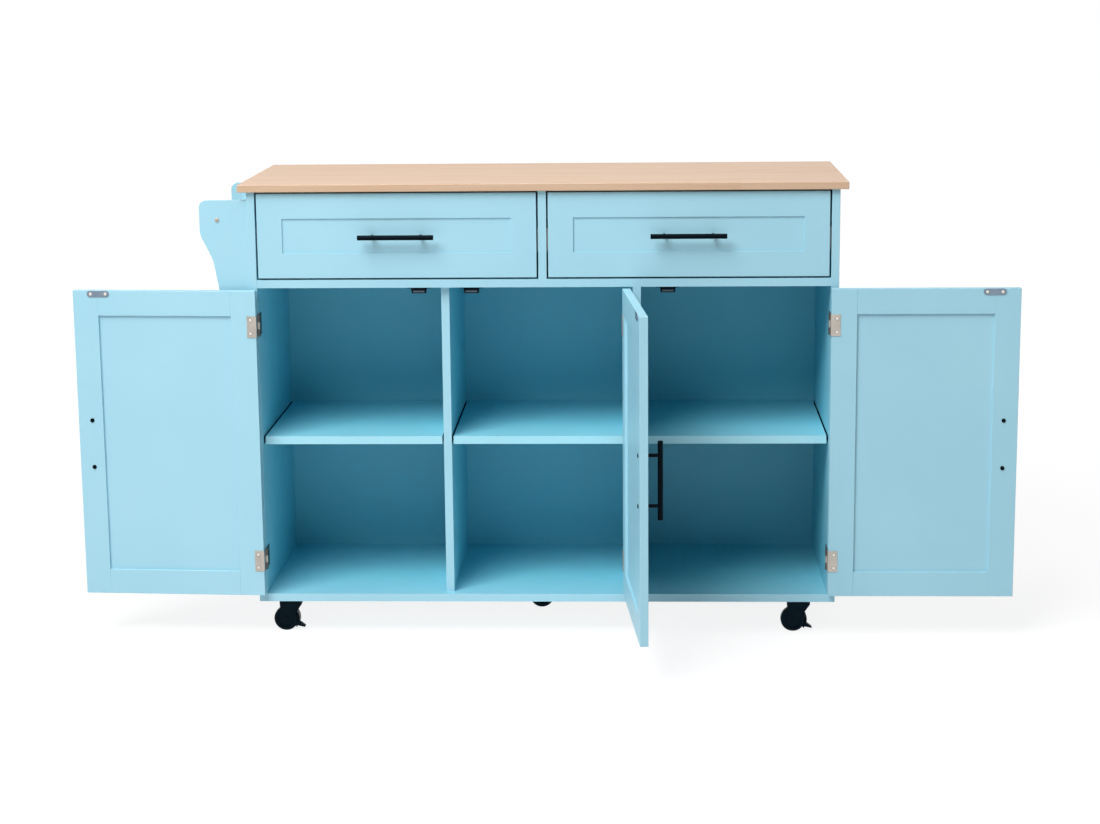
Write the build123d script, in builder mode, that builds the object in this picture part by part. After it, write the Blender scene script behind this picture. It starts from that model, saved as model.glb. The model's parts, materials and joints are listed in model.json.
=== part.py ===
from build123d import *
import math
import os

# A kitchen cart on five casters: a cabinet with a wooden countertop, two drawers over three
# inset doors, and a towel rack on its left side.  It is modelled as it stands in use, with the
# outer doors swung right round and the middle door a little past square.
# Frame: origin on the floor under the middle of the cabinet, +X to its right, +Y to its back,
# +Z up.  Millimetres.  A "depth" is measured backwards from the cabinet's front plane.

# Countertop and overall height
TOP_W = 1200.0
TOP_D = 460.0
TOP_T = 15.0
TOP_EDGE_R = 1.5
HEIGHT = 922.0
SIDE_OVERHANG = 16.0
FRONT_OVERHANG = 10.0
REAR_OVERHANG = 10.0

# Cabinet boards
BOARD = 16.0
EDGE_R = 0.8
CASTER_H = 72.0
DRAWER_BAY_H = 175.0
BACK_T = 4.0
BACK_INSET = 32.0
BACK_GROOVE = 6.0
GROOVE_FIT = 0.5
RAIL_H = 80.0
DIVIDER_SETBACK = 2.0

# Dowels that join the boards
DOWEL_R = 4.0
DOWEL_L = 30.0
DOWEL_FACE = 10.0
DOWEL_INSET = 60.0
RAIL_DOWEL_INSET = 20.0

# Shelves and their pins
SHELF_RISE = 307.0
SHELF_FRONT = 21.0
SHELF_SIDE_GAP = 3.5
SHELF_BACK_GAP = 0.5
PIN_INSET = 45.0
PIN_R = 2.5
PIN_SEAT = 7.0
PIN_REACH = 9.0
PIN_TAB_W = 10.0
PIN_TAB_T = 2.0
PIN_DROP = 3.5

# Doors
DOOR_T = 16.0
DOOR_GAP = 2.5
MEET_GAP = 2.0
STILE_W = 50.5
DOOR_RAIL_H = 50.5
DOOR_PANEL_T = 6.0
DOOR_GROOVE = 8.0
LEFT_DOOR_OPEN = 183.0
MIDDLE_DOOR_OPEN = 95.3
RIGHT_DOOR_OPEN = 180.0

# Hinges: a frame leaf on the board, a leaf wrapped round the door's edge, a pin
HINGE_GAP = 3.0
HINGE_H = 43.0
HINGE_INSET = 72.0
LEAF_T = 1.2
KNUCKLE_R = 3.0
KNUCKLE_GAP = 0.3
HINGE_PIN_R = 1.5
HINGE_PIN_FIT = 0.05
HINGE_PIN_OUT = 3.5
FRAME_LEAF_D = 36.0
FRAME_SCREW_D = 27.0
FLANGE_W = 18.0
FLANGE_SCREW_IN = 11.0
HINGE_SCREW_SPACING = 27.0

# Magnetic catches and their strike plates
STRIKE_W = 45.0
STRIKE_H = 12.5
STRIKE_T = 1.2
STRIKE_FROM_EDGE = 51.5
STRIKE_DROP = 0.5
STRIKE_SCREW_SPACING = 30.0
CATCH_W = 46.0
CATCH_BODY_W = 33.0
CATCH_FOOT_W = 28.0
CATCH_H = 14.0
CATCH_D = 15.0
CATCH_FLANGE_T = 4.0
CATCH_GAP = 0.3
CATCH_SCREW_SPACING = 38.5
MAGNET_W = 23.0
MAGNET_H = 3.6
MAGNET_D = 10.0
MAGNET_DROP = 10.3
MAGNET_PROUD = 0.5

# Bar handles
BAR_L = 150.0
BAR_R = 5.0
BAR_EDGE_R = 0.8
POST_SPACING = 96.0
POST_R = 3.5
HANDLE_REACH = 30.0
HANDLE_FROM_EDGE = 28.0
HANDLE_SCREW_R = 2.0
HANDLE_SCREW_BITE = 9.0
HANDLE_SCREW_HEAD_R = 4.2
HANDLE_SCREW_HEAD_H = 1.4

# Raised countersunk wood screws, and the domes and cross recesses of all screw heads
SCREW_R = 1.5
SCREW_L = 12.0
SCREW_HEAD_R = 3.2
SCREW_HEAD_H = 1.1
SCREW_DOME = 0.5
PAN_DOME = 0.8
RECESS_W = 0.9
RECESS_D = 0.9

# Drawers
DRAWER_GAP = 3.5
MILLED_BORDER = 49.5
MILLED_DEPTH = 3.0
DRAWER_HANDLE_DROP = 1.5
BOX_T = 12.0
BOX_H = 110.0
BOX_RISE = 22.0
BOX_BACK_GAP = 16.0
BOTTOM_T = 4.0
BOTTOM_RISE = 10.0
BOTTOM_GROOVE = 5.0

# Telescopic drawer slides, nested channels
SLIDE_W = 12.5
SLIDE_H = 45.0
SLIDE_START = 18.0
SLIDE_BACK_GAP = 24.0
SLIDE_SHEET = 1.2
SLIDE_FIT = 0.3
SLIDE_OUTER_LIP = 9.0
SLIDE_MIDDLE_LIP = 10.6

# Towel rack on the left side
RACK_T = 16.0
RACK_REACH = 95.0
RACK_DROP = 17.0
RACK_H = 280.0
RACK_CORNER_R = 13.0
RACK_SHOULDER_H = 67.0
RACK_SHOULDER_R = 40.0
RACK_KNEE_H = 117.0
RACK_KNEE_REACH = 70.5
RACK_KNEE_R = 60.0
RACK_TOE_REACH = 42.0
RACK_TOE_R = 10.0
RACK_FRONT = 4.0
RACK_REAR_INSET = 52.0
ROD_R = 9.0
ROD_OUT = 60.0
ROD_BELOW = 38.0
ROD_SEAT = 6.0
ROD_SCREW_R = 2.5
ROD_SCREW_L = 40.0
ROD_SCREW_HEAD_R = 4.5
ROD_SCREW_HEAD_H = 1.2
RACK_SCREW_L = 40.0
RACK_SCREW_HIGH = 28.0
RACK_SCREW_LOW = 200.0

# Casters
CASTER_SIDE_INSET = 64.0
CASTER_INSET = 44.0
TRAIL = 17.0
WHEEL_R = 25.0
WHEEL_W = 19.0
WHEEL_EDGE_R = 4.0
WHEEL_RIM_R = 18.0
WHEEL_HUB_R = 8.0
WHEEL_DISH = 3.0
CASTER_PLATE_W = 48.0
CASTER_PLATE_T = 2.5
CASTER_PLATE_R = 4.0
CASTER_SCREW_SPACING = 37.0
RACE_R = 15.0
RACE_H = 3.0
KING_R = 4.0
KING_HEAD_R = 6.5
KING_HEAD_H = 2.0
CASTER_FIT = 0.3
BORE_FIT = 0.06
CROWN_T = 3.5
CHEEK_BACK = 29.0
CHEEK_FRONT = 17.0
CHEEK_H = 9.0
CHEEK_T = 3.0
LUG_R = 9.0
AXLE_R = 3.0
AXLE_HEAD_R = 5.5
AXLE_HEAD_H = 2.0
PIVOT_X = 7.0
PIVOT_BELOW = 15.0
PIVOT_R = 2.0
LEVER_HUB_R = 5.0
SHOE_T = 3.0
SHOE_HIGH = 36.0
SHOE_LOW = -37.0
PEDAL_ANGLE = -25.0
PEDAL_ROOT_R = 4.2
PEDAL_TIP_R = 1.6
PEDAL_REACH = 41.0
PEDAL_W = 10.0
LEVER_SIDE_FIT = 0.5

# Places that follow from those sizes
CABINET_W = TOP_W - 2 * SIDE_OVERHANG
CABINET_D = TOP_D - FRONT_OVERHANG - REAR_OVERHANG
FRONT_Y = -CABINET_D / 2
RIGHT_IN = CABINET_W / 2 - BOARD
LEFT_IN = -RIGHT_IN
BASE_Z = CASTER_H
FLOOR_Z = BASE_Z + BOARD
CEILING_Z = HEIGHT - TOP_T
BAY_Z = CEILING_Z - DRAWER_BAY_H
DECK_Z = BAY_Z - BOARD
BACK_DEPTH = CABINET_D - BACK_INSET - BACK_T
RAIL_DEPTH = BACK_DEPTH + BACK_T
SHELF_Z = FLOOR_Z + SHELF_RISE
BOX_L = BACK_DEPTH - BOARD - BOX_BACK_GAP
SLIDE_L = BACK_DEPTH - SLIDE_START - SLIDE_BACK_GAP
RACK_REAR = CABINET_D - RACK_REAR_INSET - RACK_T
CASTER_X = CABINET_W / 2 - CASTER_SIDE_INSET

DOOR_W = (RIGHT_IN - LEFT_IN - BOARD - 3 * HINGE_GAP - 2 * MEET_GAP) / 3
DOOR_LOW = FLOOR_Z + DOOR_GAP
DOOR_HIGH = DECK_Z - DOOR_GAP
DOOR_MID_Z = (DOOR_LOW + DOOR_HIGH) / 2
LEFT_DIVIDER_X = LEFT_IN + HINGE_GAP + DOOR_W + MEET_GAP / 2
RIGHT_DIVIDER_X = RIGHT_IN - HINGE_GAP - DOOR_W - MEET_GAP - BOARD / 2
LEFT_DIVIDER_DEPTH = DOOR_T + DIVIDER_SETBACK
HINGE_HEIGHTS = (DOOR_LOW + HINGE_INSET, DOOR_HIGH - HINGE_INSET)
KNUCKLE_H = (HINGE_H - 2 * KNUCKLE_GAP) / 3
KNUCKLE_STEP = KNUCKLE_H + KNUCKLE_GAP

FORK_TOP = CASTER_H - CASTER_PLATE_T - RACE_H - CASTER_FIT
CHEEK_IN = WHEEL_W / 2 + CASTER_FIT
PIVOT_Z = FORK_TOP - PIVOT_BELOW

# Each door: the x of its hinge pin, +1 where it hinges on its left, how far it stands open
DOORS = {
    "left_door": (LEFT_IN + HINGE_GAP / 2, 1, LEFT_DOOR_OPEN),
    "middle_door": (RIGHT_DIVIDER_X - BOARD / 2 - HINGE_GAP / 2, -1, MIDDLE_DOOR_OPEN),
    "right_door": (RIGHT_IN - HINGE_GAP / 2, -1, RIGHT_DOOR_OPEN),
}
# Each drawer: the inner faces of its bay
DRAWERS = {
    "left_drawer": (LEFT_IN, -BOARD / 2),
    "right_drawer": (BOARD / 2, RIGHT_IN),
}
# Each compartment behind the doors: its inner faces
COMPARTMENTS = (
    (LEFT_IN, LEFT_DIVIDER_X - BOARD / 2),
    (LEFT_DIVIDER_X + BOARD / 2, RIGHT_DIVIDER_X - BOARD / 2),
    (RIGHT_DIVIDER_X + BOARD / 2, RIGHT_IN),
)
# Each caster: the place of its king pin, and whether it has a brake
CASTERS = {
    "front_left": (-CASTER_X, CASTER_INSET, True),
    "front_right": (CASTER_X, CASTER_INSET, True),
    "middle": (0.0, CABINET_D / 2, False),
    "rear_left": (-CASTER_X, CABINET_D - CASTER_INSET, False),
    "rear_right": (CASTER_X, CABINET_D - CASTER_INSET, False),
}

# Directions for things that stand on a face
OUT_LEFT = (0, -90, 0)
OUT_RIGHT = (0, 90, 0)
OUT_FRONT = (90, 0, 0)
OUT_BACK = (-90, 0, 0)
OUT_DOWN = (180, 0, 0)
SUNK = (Align.CENTER, Align.CENTER, Align.MAX)
PROUD = (Align.CENTER, Align.CENTER, Align.MIN)


def at(depth):
    """The y of a depth behind the front plane."""
    return FRONT_Y + depth


def out_side(sign):
    """The turn that faces a thing along +X or -X."""
    return OUT_RIGHT if sign > 0 else OUT_LEFT


def block(x0, x1, y0, y1, z0, z1, mode=Mode.ADD):
    """A box between two corners."""
    with Locations(((x0 + x1) / 2, (y0 + y1) / 2, (z0 + z1) / 2)):
        Box(abs(x1 - x0), abs(y1 - y0), abs(z1 - z0), mode=mode)


def board(x0, x1, depth0, depth1, z0, z1, mode=Mode.ADD):
    """A cabinet board, placed by its depths."""
    block(x0, x1, at(depth0), at(depth1), z0, z1, mode)


def turned_screw(profile, head_r, top):
    """A screw turned from half its outline, with a domed head and a cross recess."""
    with BuildPart() as screw:
        with BuildSketch(Plane.XZ):
            with BuildLine():
                Polyline(*profile)
                TangentArc((0, top), profile[-1], tangent=(1, 0))
                Line((0, top), profile[0])
            make_face()
        revolve(axis=Axis.Z)
        with Locations((0, 0, top)):
            Box(head_r, RECESS_W, RECESS_D, align=SUNK, mode=Mode.SUBTRACT)
            Box(RECESS_W, head_r, RECESS_D, align=SUNK, mode=Mode.SUBTRACT)
    return screw.part


def flat_screw(length=SCREW_L):
    """A countersunk screw, its rim flush with the face that it stands in."""
    foot = (SCREW_R, -length)
    profile = ((0, -length), foot, (SCREW_R, -SCREW_HEAD_H), (SCREW_HEAD_R, 0))
    return turned_screw(profile, SCREW_HEAD_R, SCREW_DOME)


def pan_screw(shank_r, length, head_r, head_h):
    """A screw whose round head stands on a face."""
    foot = (shank_r, -length)
    profile = ((0, -length), foot, (shank_r, 0), (head_r, 0), (head_r, head_h))
    return turned_screw(profile, head_r, head_h + PAN_DOME)


def put(piece, places):
    """Copies of a finished piece."""
    with Locations(*places):
        add(piece)


def countersink(places, length=SCREW_L):
    """The holes of countersunk screws."""
    with Locations(*places):
        Cone(SCREW_R, SCREW_HEAD_R, SCREW_HEAD_H, align=SUNK, mode=Mode.SUBTRACT)
        Cylinder(SCREW_R, length, align=SUNK, mode=Mode.SUBTRACT)


def drill(places, radius, depth):
    """Holes that go in from a face."""
    with Locations(*places):
        Cylinder(radius, depth, align=SUNK, mode=Mode.SUBTRACT)


def save(name, *pieces):
    """Write one named node; several pieces stay separate solids."""
    if len(pieces) == 1:
        node = pieces[0].part
    else:
        node = Compound(children=[piece.part for piece in pieces])
    node.label = name
    export_step(node, f"parts/{name}.step")


# Dowel places: the short end sits in a board's face, the long end in the other board's edge

def dowels_across(x, sign, depths, heights):
    """Dowels along X through the face at x, with the long end towards sign."""
    middle = x + sign * (DOWEL_L / 2 - DOWEL_FACE)
    return [Location((middle, at(depth), z), OUT_RIGHT) for depth in depths for z in heights]


def dowels_upright(xs, z, sign, depths):
    """Dowels along Z through the face at z, with the long end towards sign."""
    middle = z + sign * (DOWEL_L / 2 - DOWEL_FACE)
    return [Location((x, at(depth), middle)) for x in xs for depth in depths]


FULL_DEPTHS = (DOWEL_INSET, CABINET_D - DOWEL_INSET)
INNER_DEPTHS = (DOWEL_INSET, BACK_DEPTH - DOWEL_INSET)
RAIL_HEIGHTS = (CEILING_Z - RAIL_H + RAIL_DOWEL_INSET, CEILING_Z - RAIL_DOWEL_INSET)
RAIL_MID = (RAIL_DEPTH + BOARD / 2,)
SIDE_X = CABINET_W / 2 - BOARD / 2
DOWELS = {
    "left_side": dowels_across(LEFT_IN, 1, FULL_DEPTHS, (BASE_Z + BOARD / 2,))
    + dowels_across(LEFT_IN, 1, INNER_DEPTHS, (DECK_Z + BOARD / 2,))
    + dowels_across(LEFT_IN, 1, RAIL_MID, RAIL_HEIGHTS),
    "right_side": dowels_across(RIGHT_IN, -1, FULL_DEPTHS, (BASE_Z + BOARD / 2,))
    + dowels_across(RIGHT_IN, -1, INNER_DEPTHS, (DECK_Z + BOARD / 2,))
    + dowels_across(RIGHT_IN, -1, RAIL_MID, RAIL_HEIGHTS),
    "divider_feet": dowels_upright((LEFT_DIVIDER_X, RIGHT_DIVIDER_X), FLOOR_Z, 1, INNER_DEPTHS),
    "divider_heads": dowels_upright((LEFT_DIVIDER_X, RIGHT_DIVIDER_X), DECK_Z, -1, INNER_DEPTHS),
    "bay_foot": dowels_upright((0.0,), BAY_Z, 1, INNER_DEPTHS),
    "bay_head": dowels_upright((0.0,), CEILING_Z, -1, INNER_DEPTHS),
    "side_heads": dowels_upright((-SIDE_X, SIDE_X), CEILING_Z, -1, FULL_DEPTHS),
}


def drill_dowels(*names):
    """The dowel holes of the named joints."""
    for name in names:
        with Locations(*DOWELS[name]):
            Cylinder(DOWEL_R, DOWEL_L, mode=Mode.SUBTRACT)


# Places of what is screwed or plugged into the cabinet

def door_plane(name, turned=True):
    """A door's own plane: origin on its hinge pin, y from its outer face to its inner one."""
    pin_x, sign, opened = DOORS[name]
    turn = math.radians(-sign * opened) if turned else 0.0
    origin = (pin_x, at(0) - HINGE_PIN_OUT, 0)
    return Plane(origin=origin, x_dir=(math.cos(turn), math.sin(turn), 0), z_dir=(0, 0, 1))


def frame_leaf_screws(name):
    """Where a door's frame leaves are screwed to the board, in the door's unturned plane."""
    sign = DOORS[name][1]
    x = sign * (LEAF_T - HINGE_GAP / 2)
    y = HINGE_PIN_OUT + FRAME_SCREW_D
    half = HINGE_SCREW_SPACING / 2
    return [Location((x, y, z + dz), out_side(sign)) for z in HINGE_HEIGHTS for dz in (-half, half)]


def strike_x(name):
    """The x of a closed door's strike plate, and of its catch."""
    pin_x, sign, _ = DOORS[name]
    return pin_x + sign * (HINGE_GAP / 2 + DOOR_W - STRIKE_FROM_EDGE)


CATCH_FRONT = DOOR_T + STRIKE_T + CATCH_GAP
CATCH_MID = CATCH_FRONT + CATCH_D / 2
CATCH_SCREWS = [
    Location((strike_x(name) + dx, at(CATCH_MID), DECK_Z - CATCH_FLANGE_T), OUT_DOWN)
    for name in DOORS
    for dx in (-CATCH_SCREW_SPACING / 2, CATCH_SCREW_SPACING / 2)
]
PLATE_SCREWS = [
    Location((x + dx, at(depth) + dy, BASE_Z - CASTER_PLATE_T), OUT_DOWN)
    for x, depth, _ in CASTERS.values()
    for dx in (-CASTER_SCREW_SPACING / 2, CASTER_SCREW_SPACING / 2)
    for dy in (-CASTER_SCREW_SPACING / 2, CASTER_SCREW_SPACING / 2)
]
RACK_X = -CABINET_W / 2
RACK_TOP = CEILING_Z - RACK_DROP
ROD_X = RACK_X - ROD_OUT
ROD_Z = RACK_TOP - ROD_BELOW
ROD_SCREWS = [
    Location((ROD_X, at(RACK_FRONT), ROD_Z), OUT_FRONT),
    Location((ROD_X, at(RACK_REAR + RACK_T), ROD_Z), OUT_BACK),
]
RACK_SCREWS = [
    Location((LEFT_IN, at(depth + RACK_T / 2), RACK_TOP - drop), OUT_RIGHT)
    for depth in (RACK_FRONT, RACK_REAR)
    for drop in (RACK_SCREW_HIGH, RACK_SCREW_LOW)
]
SHELF_PINS = [
    Location((x, at(depth), SHELF_Z), (0, 0, turn))
    for left, right in COMPARTMENTS
    for x, turn in ((left, 0), (right, 180))
    for depth in (SHELF_FRONT + PIN_INSET, BACK_DEPTH - PIN_INSET)
]


def drill_shelf_pins():
    """The sockets of the shelf pins."""
    for place in SHELF_PINS:
        with Locations(place):
            with Locations(Location((0, 0, -PIN_DROP), OUT_RIGHT)):
                Cylinder(PIN_R, PIN_SEAT, align=SUNK, mode=Mode.SUBTRACT)


def drill_hinge_screws(name):
    """The holes for one door's frame leaves."""
    plane = door_plane(name, turned=False)
    countersink([plane.location * place for place in frame_leaf_screws(name)])


def cabinet():
    """The boards of the cabinet, its shelves, dowels and pins."""
    with BuildPart() as top:
        board(
            -TOP_W / 2, TOP_W / 2, -FRONT_OVERHANG, CABINET_D + REAR_OVERHANG, CEILING_Z, HEIGHT
        )
        fillet(top.edges(), TOP_EDGE_R)
        drill_dowels("side_heads", "bay_head")
    save("countertop", top)

    for name, outer, inner in (
        ("left_side", -CABINET_W / 2, LEFT_IN),
        ("right_side", CABINET_W / 2, RIGHT_IN),
    ):
        with BuildPart() as side:
            board(outer, inner, 0, CABINET_D, BASE_Z, CEILING_Z)
            fillet(side.edges().filter_by(Axis.Z), EDGE_R)
            groove = inner + math.copysign(BACK_GROOVE, outer)
            board(
                groove, inner, BACK_DEPTH, BACK_DEPTH + BACK_T, FLOOR_Z - BACK_GROOVE, CEILING_Z,
                mode=Mode.SUBTRACT,
            )
            drill_dowels(name, "side_heads")
            drill_shelf_pins()
            if outer < 0:
                drill_hinge_screws("left_door")
                countersink(RACK_SCREWS, RACK_SCREW_L)
            else:
                drill_hinge_screws("right_door")
        save(f"{name}_panel", side)

    with BuildPart() as base:
        board(LEFT_IN, RIGHT_IN, 0, CABINET_D, BASE_Z, FLOOR_Z)
        board(
            LEFT_IN, RIGHT_IN, BACK_DEPTH, BACK_DEPTH + BACK_T, FLOOR_Z - BACK_GROOVE, FLOOR_Z,
            mode=Mode.SUBTRACT,
        )
        drill_dowels("left_side", "right_side", "divider_feet")
        countersink(PLATE_SCREWS)
    save("base_panel", base)

    with BuildPart() as deck:
        board(LEFT_IN, RIGHT_IN, 0, BACK_DEPTH, DECK_Z, BAY_Z)
        drill_dowels("left_side", "right_side", "divider_heads", "bay_foot")
        countersink(CATCH_SCREWS)
    save("drawer_deck", deck)

    with BuildPart() as back:
        reach = RIGHT_IN + BACK_GROOVE - GROOVE_FIT
        low = FLOOR_Z - BACK_GROOVE + GROOVE_FIT
        board(-reach, reach, BACK_DEPTH, BACK_DEPTH + BACK_T, low, CEILING_Z)
    save("back_panel", back)

    with BuildPart() as rear_rail:
        board(LEFT_IN, RIGHT_IN, RAIL_DEPTH, RAIL_DEPTH + BOARD, CEILING_Z - RAIL_H, CEILING_Z)
        drill_dowels("left_side", "right_side")
    save("rear_top_rail", rear_rail)

    with BuildPart() as bay_divider:
        board(-BOARD / 2, BOARD / 2, 0, BACK_DEPTH, BAY_Z, CEILING_Z)
        drill_dowels("bay_foot", "bay_head")
    save("drawer_divider", bay_divider)

    for name, x, depth in (
        ("left_divider", LEFT_DIVIDER_X, LEFT_DIVIDER_DEPTH),
        ("right_divider", RIGHT_DIVIDER_X, 0.0),
    ):
        with BuildPart() as divider:
            board(x - BOARD / 2, x + BOARD / 2, depth, BACK_DEPTH, FLOOR_Z, DECK_Z)
            drill_dowels("divider_feet", "divider_heads")
            drill_shelf_pins()
            drill_hinge_screws("middle_door")
        save(name, divider)

    with BuildPart() as shelves:
        for left, right in COMPARTMENTS:
            board(
                left + SHELF_SIDE_GAP, right - SHELF_SIDE_GAP,
                SHELF_FRONT, BACK_DEPTH - SHELF_BACK_GAP, SHELF_Z, SHELF_Z + BOARD,
            )
    save("shelves", shelves)

    with BuildPart() as pins:
        for place in SHELF_PINS:
            with Locations(place):
                with Locations(Location((-PIN_SEAT, 0, -PIN_DROP), OUT_RIGHT)):
                    Cylinder(PIN_R, PIN_SEAT + PIN_REACH, align=PROUD)
                with Locations((PIN_REACH / 2, 0, -PIN_TAB_T / 2)):
                    Box(PIN_REACH, PIN_TAB_W, PIN_TAB_T)
    save("shelf_pins", pins)

    with BuildPart() as dowels:
        for places in DOWELS.values():
            with Locations(*places):
                Cylinder(DOWEL_R, DOWEL_L)
    save("carcass_dowels", dowels)


def catches():
    """Magnetic catches under the drawer deck: a housing with a flange, and its magnet."""
    magnet_z = DECK_Z - MAGNET_DROP
    places = [strike_x(name) for name in DOORS]
    with BuildPart() as magnets:
        for x in places:
            board(
                x - MAGNET_W / 2, x + MAGNET_W / 2, CATCH_FRONT, CATCH_FRONT + MAGNET_D,
                magnet_z - MAGNET_H / 2, magnet_z + MAGNET_H / 2,
            )
    with BuildPart() as housings:
        front = CATCH_FRONT + MAGNET_PROUD
        back = CATCH_FRONT + CATCH_D
        for x in places:
            with BuildSketch(Plane.XZ.offset(-at(front))):
                with BuildLine():
                    Polyline(
                        (x - CATCH_BODY_W / 2, DECK_Z), (x - CATCH_FOOT_W / 2, DECK_Z - CATCH_H),
                        (x + CATCH_FOOT_W / 2, DECK_Z - CATCH_H), (x + CATCH_BODY_W / 2, DECK_Z),
                        close=True,
                    )
                make_face()
            extrude(amount=front - back)
            board(x - CATCH_W / 2, x + CATCH_W / 2, front, back, DECK_Z - CATCH_FLANGE_T, DECK_Z)
        add(magnets.part, mode=Mode.SUBTRACT)
        countersink(CATCH_SCREWS)
    save("door_catches", housings, magnets)


def knuckle(z, bore):
    """One hinge knuckle round the pin."""
    with Locations((0, 0, z)):
        Cylinder(KNUCKLE_R, KNUCKLE_H)
        Cylinder(bore, KNUCKLE_H, mode=Mode.SUBTRACT)


def leaf_edge(x0, x1, depth, knuckles, z):
    """A leaf's flat strip beside the pin, with tongues that reach its knuckles."""
    clear = KNUCKLE_R + KNUCKLE_GAP
    block(x0, x1, clear, depth, z - HINGE_H / 2, z + HINGE_H / 2)
    for step in knuckles:
        middle = z + step * KNUCKLE_STEP
        block(x0, x1, 0, clear, middle - KNUCKLE_H / 2, middle + KNUCKLE_H / 2)


def frame_leaves():
    """The hinge leaves on the boards, and the pins that they hold."""
    leaves = []
    pins = []
    for name in DOORS:
        sign = DOORS[name][1]
        plane = door_plane(name, turned=False)
        for z in HINGE_HEIGHTS:
            with BuildPart(plane) as leaf:
                x0 = -sign * HINGE_GAP / 2
                leaf_edge(x0, x0 + sign * LEAF_T, HINGE_PIN_OUT + FRAME_LEAF_D, (-1, 1), z)
                knuckle(z - KNUCKLE_STEP, HINGE_PIN_R)
                knuckle(z + KNUCKLE_STEP, HINGE_PIN_R)
                countersink(frame_leaf_screws(name))
            leaves.append(leaf)
            with BuildPart(plane) as pin:
                with Locations((0, 0, z)):
                    Cylinder(HINGE_PIN_R, HINGE_H)
            pins.append(pin)
    save("frame_hinge_leaves", *leaves)
    save("hinge_pins", *pins)


def round_bar():
    """A handle's bar with softened ends."""
    with BuildPart() as bar:
        Cylinder(BAR_R, BAR_L)
        fillet(bar.edges(), BAR_EDGE_R)
    return bar.part


def handle(bar, x, face, z, upright):
    """A round bar on two posts, standing out from a front face at y = face."""
    bar_y = face - HANDLE_REACH + BAR_R
    posts = handle_places(x, face, z, upright, OUT_FRONT)
    turn = (0, 0, 0) if upright else OUT_RIGHT
    put(bar, [Location((x, bar_y, z), turn)])
    with Locations(*posts):
        Cylinder(POST_R, HANDLE_REACH - BAR_R, align=PROUD)
    drill(
        [place * Location((0, 0, HANDLE_SCREW_BITE)) for place in posts],
        HANDLE_SCREW_R, HANDLE_SCREW_BITE,
    )


def handle_places(x, y, z, upright, turn):
    """The two places of a handle's posts or screws on a face."""
    half = POST_SPACING / 2
    if upright:
        return [Location((x, y, z - half), turn), Location((x, y, z + half), turn)]
    return [Location((x - half, y, z), turn), Location((x + half, y, z), turn)]


def handle_screw(thickness):
    """A screw that holds a handle, from the back of its board."""
    length = thickness + HANDLE_SCREW_BITE
    return pan_screw(HANDLE_SCREW_R, length, HANDLE_SCREW_HEAD_R, HANDLE_SCREW_HEAD_H)


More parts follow.
